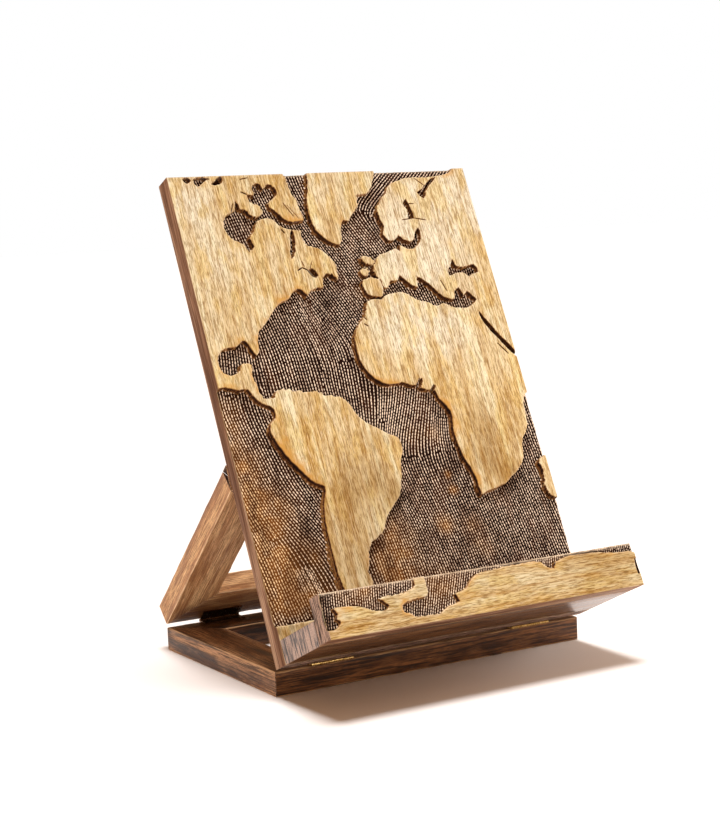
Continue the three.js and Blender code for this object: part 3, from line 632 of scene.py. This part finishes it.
def string_marks(open_at, flow, width, height, pitch, seed):
    """Gouge marks strung along a direction field in even rows: (x, y, angle) of each."""
    rng = np.random.default_rng(seed)
    spacing = ROW_SPACING * pitch
    cells, marks = {}, []

    def clear(x, y, limit):
        ci, cj = int(x // BUCKET), int(y // BUCKET)
        for i in (ci - 1, ci, ci + 1):
            for j in (cj - 1, cj, cj + 1):
                for mx, my in cells.get((i, j), ()):
                    if (mx - x) ** 2 + (my - y) ** 2 < limit * limit:
                        return False
        return True

    def add(x, y, angle):
        cells.setdefault((int(x // BUCKET), int(y // BUCKET)), []).append((x, y))
        marks.append((x, y, angle))

    def grow(x, y):
        string = []
        for sign in (1, -1):
            px, py = x, y
            while True:
                if sign < 0 and px == x and py == y:
                    angle = flow(px, py)
                else:
                    if not (open_at(px, py) and clear(px, py, CLEAR_IN_STRING * spacing)):
                        break
                    angle = flow(px, py)
                    string.append((px, py, angle))
                    add(px, py, angle)
                px += sign * pitch * math.cos(angle)
                py += sign * pitch * math.sin(angle)
        return string

    starts = deque()
    for gy in np.arange(2, height, SEED_GRID):
        for gx in np.arange(2, width, SEED_GRID):
            starts.append((gx, gy))
            while starts:
                x, y = starts.popleft()
                if not (open_at(x, y) and clear(x, y, CLEAR_TO_START * spacing)):
                    continue
                for mx, my, angle in grow(x, y):
                    side = angle + math.pi / 2
                    for sign in (1, -1):
                        slip = rng.uniform(-0.5, 0.5) * pitch
                        starts.append((mx + sign * spacing * math.cos(side) + slip * math.cos(angle),
                                       my + sign * spacing * math.sin(side) + slip * math.sin(angle)))
    marks = np.array(marks)
    marks[:, :2] += rng.normal(0, MARK_DRIFT, (len(marks), 2))
    return marks


def flow_field(places):
    """Direction at any place, blended from the listed ones; opposite directions are the same."""
    spots = np.array(places, float)
    turn = np.radians(spots[:, 2]) * 2

    def flow(x, y):
        weight = 1 / ((spots[:, 0] - x) ** 2 + (spots[:, 1] - y) ** 2 + FLOW_SOFTNESS ** 2) ** 1.5
        return math.atan2((weight * np.sin(turn)).sum(), (weight * np.cos(turn)).sum()) / 2

    return flow


def stamp(shape, marks, cell, length, width, seed):
    """Height, 0 to 1, of small oval knobs at the marks on a grid of points."""
    rng = np.random.default_rng(seed)
    field = np.zeros(shape)
    reach = int(1.6 * length / cell)
    size = rng.uniform(0.88, 1.15, len(marks))
    lift = rng.uniform(0.75, 1.0, len(marks))
    ci = np.round(marks[:, 0] / cell).astype(int)
    cj = np.round(marks[:, 1] / cell).astype(int)
    ca, sa = np.cos(marks[:, 2]), np.sin(marks[:, 2])
    for di in range(-reach, reach + 1):
        for dj in range(-reach, reach + 1):
            i, j = ci + di, cj + dj
            dx, dy = i * cell - marks[:, 0], j * cell - marks[:, 1]
            u, v = dx * ca + dy * sa, dy * ca - dx * sa
            value = lift * np.exp(-(((u / (length * size)) ** 2 + (v / (width * size)) ** 2) ** 1.3))
            ok = (i >= 0) & (j >= 0) & (i < shape[0]) & (j < shape[1])
            np.maximum.at(field, (i[ok], j[ok]), value[ok])
    return field


def cut_field(x, y, cuts):
    """Depth and darkness of fine cuts drawn as chains of points."""
    depth = np.zeros(x.shape)
    for chain, width, deep in cuts:
        for (ax, ay), (bx, by) in zip(chain, chain[1:]):
            along = (x - ax) * (bx - ax) + (y - ay) * (by - ay)
            t = np.clip(along / ((bx - ax) ** 2 + (by - ay) ** 2), 0, 1)
            gap = np.hypot(x - ax - t * (bx - ax), y - ay - t * (by - ay))
            taper = 0.4 + 0.6 * np.sin(np.pi * (0.15 + 0.7 * t))
            depth = np.maximum(depth, deep * np.exp(-(gap / (width * taper)) ** 2))
    return depth


class CarvedFace:
    """A grid of points over a board's carved face, and how each lies to the coast."""

    def __init__(self, node, place, look, seed):
        self.look, self.seed, self.relief = look, seed, Relief(node, place)
        self.width, self.height = (self.relief.high - self.relief.low)[:2]
        self.nx = int(round((self.width - 2 * EDGE_ROUND) / CELL)) + 1
        self.ny = int(round((self.height - 2 * EDGE_ROUND) / CELL)) + 1
        self.x, self.y = np.meshgrid(
            np.linspace(EDGE_ROUND, self.width - EDGE_ROUND, self.nx),
            np.linspace(EDGE_ROUND, self.height - EDGE_ROUND, self.ny), indexing="ij")
        self.crumble = np.clip(self.spots("crumbled"), 0, 1)
        self.read_coast()
        self.tip = self.mark_tips()
        self.cut = cut_field(self.x, self.y, look["cuts"]) * ~self.in_sea

    def ripple(self, size, salt):
        return ripple(self.x, self.y, size, self.seed + salt)

    def spots(self, name):
        return blobs(self.x, self.y, self.look[name])

    def read_coast(self):
        """Distance to the coast, made ragged, and the foot of its slope, wider where it shows."""
        low, scale, strip_top = self.relief.low, self.look["scale"], self.look["strip_top"]
        coarse, fine = 0.35 * scale, (0.2 + 1.0 * self.crumble) * scale
        self.distance, self.facing = self.relief.read(
            self.x + low[0] + coarse * self.ripple(3.7, 0) + fine * self.ripple(1.3, 11),
            self.y + low[1] + coarse * self.ripple(3.7, 1) + fine * self.ripple(1.3, 12))
        self.shown = np.clip(-(0.85 * self.facing[..., 0] + 0.5 * self.facing[..., 1]), 0, 1)
        self.wide = np.clip(self.spots("tan"), 0, 1)
        foot = (0.6 + (0.5 + 1.9 * self.wide) * self.shown) * (1 + 0.35 * self.ripple(8, 2)) * scale
        self.at_strip = np.zeros(self.x.shape, bool)
        if strip_top:
            self.at_strip = (np.abs(self.y - strip_top) < 6) & (self.facing[..., 1] > 0.9)
        self.foot = np.where(self.at_strip, STRIP_FOOT, np.minimum(foot, WIDEST_FOOT))
        self.in_sea = self.distance > 0
        self.inland = np.maximum(-self.distance, 0)
        self.offshore = np.maximum(self.distance, 0)

    def mark_tips(self):
        """Height, 0 to 1, of the knobs left between the gouge marks of the sea."""
        step_x = self.x[1, 0] - self.x[0, 0]
        step_y = self.y[0, 1] - self.y[0, 0]

        def open_at(x, y):
            i, j = int(round((x - EDGE_ROUND) / step_x)), int(round((y - EDGE_ROUND) / step_y))
            if not (0 <= i < self.nx and 0 <= j < self.ny):
                return False
            shore = 0.45 + 0.35 * max(self.foot[i, j] - 1.0, 0)
            return self.distance[i, j] > shore * self.look["scale"]

        pitch = self.look["pitch"]
        marks = string_marks(open_at, self.look["flow"], self.width, self.height, pitch, self.seed)
        marks = marks - np.array([EDGE_ROUND, EDGE_ROUND, 0])
        tip = stamp(self.x.shape, marks, step_x, MARK_LENGTH * pitch, MARK_WIDTH * pitch, self.seed)
        near_foot = 0.3 + 0.7 * smoothstep(0.2, 0.9, self.distance / self.foot)
        return tip * np.maximum(near_foot, self.crumble * (self.shown < 0.3))

    def surface(self, depth):
        """Height of the carved face: land with a soft rim, a slope, and the knobbly sea."""
        lip = smoothstep(0, 0.45, self.offshore) * 0.35
        run = (self.offshore - 0.2) / np.maximum(self.foot - 0.2, 0.3)
        slope = smoothstep(0.0, 1.0, np.clip(run, 0, 1)) * 0.65
        rim = 0.3 * np.exp(-self.inland / 0.5)
        floor = 0.3 * self.ripple(16, 3) + 0.15 * self.ripple(5, 4)
        height = self.relief.land - rim - (depth - 0.35) * (lip + slope)
        height += self.in_sea * (lip + slope) * (floor + 0.75 * self.tip - 0.2)
        height += ~self.in_sea * 0.05 * self.ripple(9, 6)
        height -= self.cut
        return np.minimum(height, self.relief.land - 0.02)

    def burn(self):
        """Char on the land's edge, down the coast's wall and in stripes over its slope."""
        edge = np.exp(-self.inland / (0.25 + 0.35 * self.shown + 0.4 * self.scorch()))
        edge *= 0.15 + 0.7 * self.shown + 0.3 * self.scorch()
        wall = np.exp(-((self.offshore - 0.1) / (0.25 + 0.15 * self.shown)) ** 2) * (0.4 + 0.6 * self.shown)
        band = smoothstep(0.2, 0.6, self.offshore) * (1 - smoothstep(0.8, 1.2, self.offshore / self.foot))
        band = band * smoothstep(0.1, 0.4, self.shown)
        downward = np.clip(-self.facing[..., 1], 0, 1)
        stripes = 0.26 * np.cos(2 * np.pi * (self.offshore + 0.35 * self.ripple(6, 14)) / 1.25)
        slope = 0.56 + 0.2 * downward - 0.24 * self.wide + stripes * (1 - 0.6 * downward)
        slope += 0.2 * self.ripple(2.5, 9) - 0.3 * self.tip
        char = np.where(self.in_sea, np.maximum(wall, band * slope), edge)
        char = np.where(self.at_strip & ~self.in_sea, char * 0.3, char)
        return np.maximum(char, np.clip(self.cut * 1.3, 0, 1))

    def scorch(self):
        return np.clip(self.spots("scorched"), 0, 1)

    def glow(self):
        """Orange heat on the land behind the burnt edge."""
        scorch, blotch = self.scorch(), 0.5 + 0.5 * self.ripple(6, 8)
        fade = np.exp(-self.inland / (2.5 + 6 * scorch))
        return fade * (0.15 + 0.85 * scorch) * (0.35 + 0.9 * blotch) * ~self.in_sea

    def gold(self):
        gold = np.clip(self.spots("golden") * (1 + 0.5 * self.ripple(7, 7)), 0, 1)
        near_land = np.exp(-np.maximum(self.offshore - self.foot, 0) / 6)
        return gold * (1 - 0.6 * near_land)

    def shade(self):
        # painted shade and painted light mixed with the wood's own tone, from the listed spots
        shade = np.clip(self.spots("shaded") * (1 + 0.4 * self.ripple(8, 13)), -1, 1)
        return np.where(self.in_sea, shade, np.clip(shade + self.look["tone"], -1, 1))

    def wear_and_highlight(self):
        """Painted highlight, with some wear, on the land's edge where a coast faces away from the lower
        left, most on ragged coasts; wear and painted highlight along the top edge.
        """
        coast = np.exp(-self.inland / 0.45) * ~self.in_sea * (1 - smoothstep(0.15, 0.5, self.shown))
        coast = coast * (0.55 + 0.45 * self.crumble)
        from_top = self.height - EDGE_ROUND - self.y
        top = np.exp(-from_top / 0.6) * self.look["top_wear_and_highlight"] * (0.75 + 0.4 * self.ripple(5, 16))
        return np.clip(np.maximum(coast, top), 0, 1)

    def border(self):
        """Grid places round the face, and which way is out at each."""
        nx, ny = self.nx, self.ny
        places = ([(i, 0) for i in range(nx)] + [(nx - 1, j) for j in range(1, ny)]
                  + [(i, ny - 1) for i in range(nx - 2, -1, -1)] + [(0, j) for j in range(ny - 2, 0, -1)])
        i, j = np.array(places).T
        away = np.column_stack([np.where(i == 0, -1, np.where(i == nx - 1, 1, 0)),
                                np.where(j == 0, -1, np.where(j == ny - 1, 1, 0))]).astype(float)
        return i, j, away


def board_rings(face, surface):
    """Rings of points from the face's border round the edge to the back."""
    i, j, away = face.border()
    back, land, round_off = face.relief.low[2], face.relief.land, face.look["back_round"]
    rim, rim_z = np.column_stack([face.x[i, j], face.y[i, j]]), surface[i, j]
    level = lambda z: np.full(len(i), z)
    rings = [(0.7, rim_z - 0.12), (1.0, rim_z - 0.45), (1.0, level((back + land) / 2 - 1)),
             (1.0, level(back + round_off)), (0.6, level(back + 0.3 * round_off)), (0.0, level(back))]
    return [np.column_stack([rim + away * EDGE_ROUND * step, z]) for step, z in rings]


def board_faces(face, ring_count):
    nx, ny = face.nx, face.ny
    number = np.arange(nx * ny).reshape(nx, ny)
    a, b, c, d = number[:-1, :-1], number[1:, :-1], number[1:, 1:], number[:-1, 1:]
    faces = np.stack([a, b, c, d], -1).reshape(-1, 4).tolist()
    i, j, _ = face.border()
    n = len(i)
    after = np.roll(np.arange(n), -1)
    outer = number[i, j]
    for k in range(ring_count):
        inner, outer = outer, nx * ny + k * n + np.arange(n)
        faces += np.stack([inner, outer, outer[after], inner[after]], -1).tolist()
    # the back: a long strip between each pair of side points, and a wide one at top and bottom
    first = nx * ny + (ring_count - 1) * n
    right = [first + nx - 1 + j for j in range(ny)]
    left = [first + (0 if j == 0 else n - j) for j in range(ny)]
    top_row = [first + nx - 1 + ny - 1 + i for i in range(nx)]
    bottom_row = [first + i for i in range(nx)]
    faces.append([left[1]] + [right[1]] + bottom_row[::-1])
    for j in range(1, ny - 2):
        faces.append([left[j], left[j + 1], right[j + 1], right[j]])
    faces.append([right[ny - 2]] + [left[ny - 2]] + top_row[::-1])
    return faces


def carved_board(node, place, name, depth, look, seed):
    """A board with its land at the CAD's height and its sea sunk by depth, knobbly all over."""
    face = CarvedFace(node, place, look, seed)
    surface = face.surface(depth)
    rings = board_rings(face, surface)
    grid = np.column_stack([face.x.ravel(), face.y.ravel(), surface.ravel()])
    points = np.concatenate([grid] + rings)
    away = face.border()[2]
    on_face, along = len(grid), look["grain_along"]
    first_ring = slice(on_face, on_face + len(away))

    def spread(field, beyond=0.0):
        full = np.full(len(points), float(beyond))
        full[:on_face] = field.ravel()
        return full

    stain = spread(np.zeros(on_face), 1.0)
    stain[first_ring] = 0.5
    end = spread(np.zeros(on_face))
    end[on_face:] = np.tile(np.abs(away[:, along]) * (np.abs(away[:, 1 - along]) < 0.5), len(rings))
    wear_and_highlight = spread(face.wear_and_highlight())
    # wear and painted highlight on the first ring round the face, strongest along the top edge
    wear_and_highlight[first_ring] = np.where(away[:, 1] > 0.5, look["top_wear_and_highlight"], 0.15)
    numbers = {
        "grain": points[:, [along, 1 - along, 2]] + np.array([seed * 91.0, 0, 0]),
        "sea": spread(smoothstep(0.05, 0.35, face.distance)), "tip": spread(face.tip),
        "char": spread(face.burn()), "glow": spread(face.glow()), "gold": spread(face.gold()),
        "stain": stain, "shade": spread(face.shade()), "wear_and_highlight": wear_and_highlight, "end": end,
    }
    local = points + np.array([*face.relief.low[:2], 0])
    new_piece(name, place.world(local), board_faces(face, len(rings)), nodes[node]["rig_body"], MAP_WOOD,
              [node], numbers, smooth=60)


# Spots are x, y, radius, strength; "tan" spots widen the coast's slope.
# each board sets how much wear and painted highlight its top edge gets
PANEL_LOOK = {
    "flow": flow_field(FLOW), "pitch": 2.6, "tone": 0.0, "scale": 1.0, "strip_top": 26.3,
    "grain_along": 1, "back_round": 1.6, "top_wear_and_highlight": 0.4,
    "golden": GOLDEN, "scorched": SCORCHED, "cuts": CUTS, "shaded": SHADED, "crumbled": CRUMBLED,
    "tan": [(53, 70, 34, 1.0), (55, 40, 24, 1.0), (188, 100, 14, 0.3)],
}
FENCE_LOOK = {
    "flow": flow_field([(0, 20, 80), (127, 20, 65), (254, 20, 85)]), "pitch": 2.1, "tone": 0.45,
    "scale": 0.6, "strip_top": 0, "grain_along": 0, "back_round": 0.7, "top_wear_and_highlight": 1.0,
    "golden": [(30, 30, 16, 0.6), (90, 26, 20, 0.6), (140, 24, 20, 0.4), (200, 30, 24, 0.5)],
    "scorched": [(20, 15, 14, 0.4), (60, 12, 12, 0.6), (110, 12, 20, 0.4), (180, 14, 25, 0.4),
                 (240, 12, 14, 0.5)],
    "cuts": [([(7, 12), (9, 16)], 0.5, 0.8), ([(184, 24), (186, 27)], 0.5, 0.8),
             ([(252.6, 9), (253, 19)], 1.0, 1.3)],
    "shaded": [(0, 26, 7, 1.3), (0, 12, 5, 1.0), (226, 30, 30, 0.5)],
    "crumbled": [(60, 22, 30, 0.6), (150, 24, 40, 0.5)],
    "tan": [],
}
PANEL_DEPTH, FENCE_DEPTH = 3.7, 2.4


# ---- the object ---------------------------------------------------------------------------
def build_object():
    seed = 1
    # the side rails take the lit copy of the base's wood, the front and rear rails the shaded copy
    for node in ("base_front_rail", "base_rear_rail", "base_left_rail", "base_right_rail"):
        side = node in ("base_left_rail", "base_right_rail")
        member(node, BASE, 1 if side else 0, BASE_SIDE_LIT_WOOD if side else BASE_SHADED_WOOD, seed,
               edge=EASED if side else EASED_AT_HINGE)
        seed += 1
    for node in ("strut_bottom_rail", "strut_top_rail", "strut_left_stile", "strut_right_stile"):
        member(node, STRUT, 1 if "stile" in node else 0, STRUT_WOOD, seed,
               edge=EASED_AT_HINGE if node == "strut_bottom_rail" else EASED, painted_shade_to=PAINTED_SHADE_TO)
        seed += 1
    member("ledge_board", PANEL, 0, LEDGE_WOOD, seed)
    carved_board("reading_panel", PANEL, "carved_panel", PANEL_DEPTH, PANEL_LOOK, 20)
    carved_board("front_fence", PANEL, "carved_fence", FENCE_DEPTH, FENCE_LOOK, 40)
    for name, node in nodes.items():
        if "dowel" in name:
            material, slot = DOWEL_WOOD, "dowel_wood"
        elif "hinge" in name:
            material, slot = TARNISHED_SHADED_BRASS if "rear" in name else BRASS, "brass"
        else:
            continue
        node.data.materials.clear()
        node.data.materials.append(material)


# ---- stage --------------------------------------------------------------------------------
WORLD_LIGHT = (0.32, 0.18, 0.095)
FLOOR_HALF = 12
SUN_POWER, SUN_SPREAD, SUN_FROM = 3.4, 21, (0.04, 0.1, 1)
# name, place, target, size, power, colour, and whether it lights the floor as well
SOFT_LIGHTS = [
    ("front", (0.3, -1.35, 0.6), (0, 0.05, 0.24), 0.5, 4.8, (1, 0.94, 0.86), False),
    ("left", (-1.7, -0.2, 0.5), (0, 0, 0.15), 0.8, 7.4, (1, 0.93, 0.85), False),
    ("low", (-1.5, -0.9, 0.14), (-0.1, 0.05, 0.1), 0.2, 3.6, (1, 0.93, 0.85), False),
    ("card", (0.55, -0.12, 0.12), (0, -0.1, 0.02), 0.25, 2.1, (1, 0.93, 0.86), True),
]


def area_light(name, place, target, size, power, color, skip=None):
    """A square soft light aimed at target; what skip holds is left unlit by it."""
    light = bpy.data.lights.new(name, "AREA")
    light.energy, light.size, light.color = power, size, color
    lamp = bpy.data.objects.new(name, light)
    lamp.location = place
    lamp.visible_camera = False
    if skip:
        lamp.light_linking.receiver_collection = skip
    lamp.rotation_euler = (Vector(target) - Vector(place)).to_track_quat("-Z", "Y").to_euler()
    bpy.context.scene.collection.objects.link(lamp)


def build_stage():
    g = Graph("floor")
    position = g.node("ShaderNodeNewGeometry").outputs["Position"]
    color = g.ramp(g.noise(position, scale=3), [(0.3, (0.93, 0.905, 0.89)), (0.7, (0.95, 0.92, 0.905))])
    material = g.shader(color, 0.9, specular=0.0)
    mesh = bpy.data.meshes.new("floor")
    corners = [(x * FLOOR_HALF, y * FLOOR_HALF, 0) for x, y in ((-1, -1), (1, -1), (1, 1), (-1, 1))]
    mesh.from_pydata(corners, [], [(0, 1, 2, 3)])
    mesh.materials.append(material)
    floor = bpy.data.objects.new("floor", mesh)
    bpy.context.scene.collection.objects.link(floor)
    floor_only = bpy.data.collections.new("floor_only")
    floor_only.objects.link(floor)
    floor_only.collection_objects[0].light_linking.link_state = "EXCLUDE"
    build_world()
    sun = bpy.data.lights.new("key", "SUN")
    sun.energy, sun.angle, sun.color = SUN_POWER, math.radians(SUN_SPREAD), (1, 1, 1)
    lamp = bpy.data.objects.new("key", sun)
    lamp.rotation_euler = Vector(SUN_FROM).to_track_quat("Z", "Y").to_euler()
    bpy.context.scene.collection.objects.link(lamp)
    for *light, lights_floor in SOFT_LIGHTS:
        area_light(*light, skip=None if lights_floor else floor_only)


def build_world():
    """White to the camera and a softer white to the object, as in a large pale studio."""
    world = bpy.data.worlds.new("studio")
    world.use_nodes = True
    tree = world.node_tree
    background = tree.nodes["Background"]
    seen = tree.nodes.new("ShaderNodeLightPath").outputs["Is Camera Ray"]
    choice = tree.nodes.new("ShaderNodeMix")
    choice.data_type = "RGBA"
    choice.inputs[6].default_value = (*WORLD_LIGHT, 1)
    choice.inputs[7].default_value = (1, 1, 1, 1)
    tree.links.new(seen, choice.inputs[0])
    tree.links.new(choice.outputs[2], background.inputs["Color"])
    bpy.context.scene.world = world


CAMERA_PLACE = (-0.69076, -1.13833, 0.33146)
CAMERA_LOOK = (0.50349, 0.85629, -0.11513)
CAMERA_ROLL = -2.32     # degrees
CAMERA_LENS = 80.74     # mm, on a sensor 36 mm wide


def build_camera():
    data = bpy.data.cameras.new("camera")
    data.lens, data.sensor_width = CAMERA_LENS, 36
    camera = bpy.data.objects.new("camera", data)
    look = Vector(CAMERA_LOOK).normalized()
    right = look.cross(Vector((0, 0, 1))).normalized()
    up = right.cross(look)
    roll = math.radians(CAMERA_ROLL)
    right, up = (math.cos(roll) * right + math.sin(roll) * up,
                 math.cos(roll) * up - math.sin(roll) * right)
    turn = Matrix((right, up, -look)).transposed()
    camera.matrix_world = Matrix.Translation(CAMERA_PLACE) @ turn.to_4x4()
    data.clip_start, data.clip_end = 0.01, 100
    bpy.context.scene.collection.objects.link(camera)
    bpy.context.scene.camera = camera


build_object()
build_stage()
build_camera()
bpy.context.scene.view_settings.view_transform = "Standard"
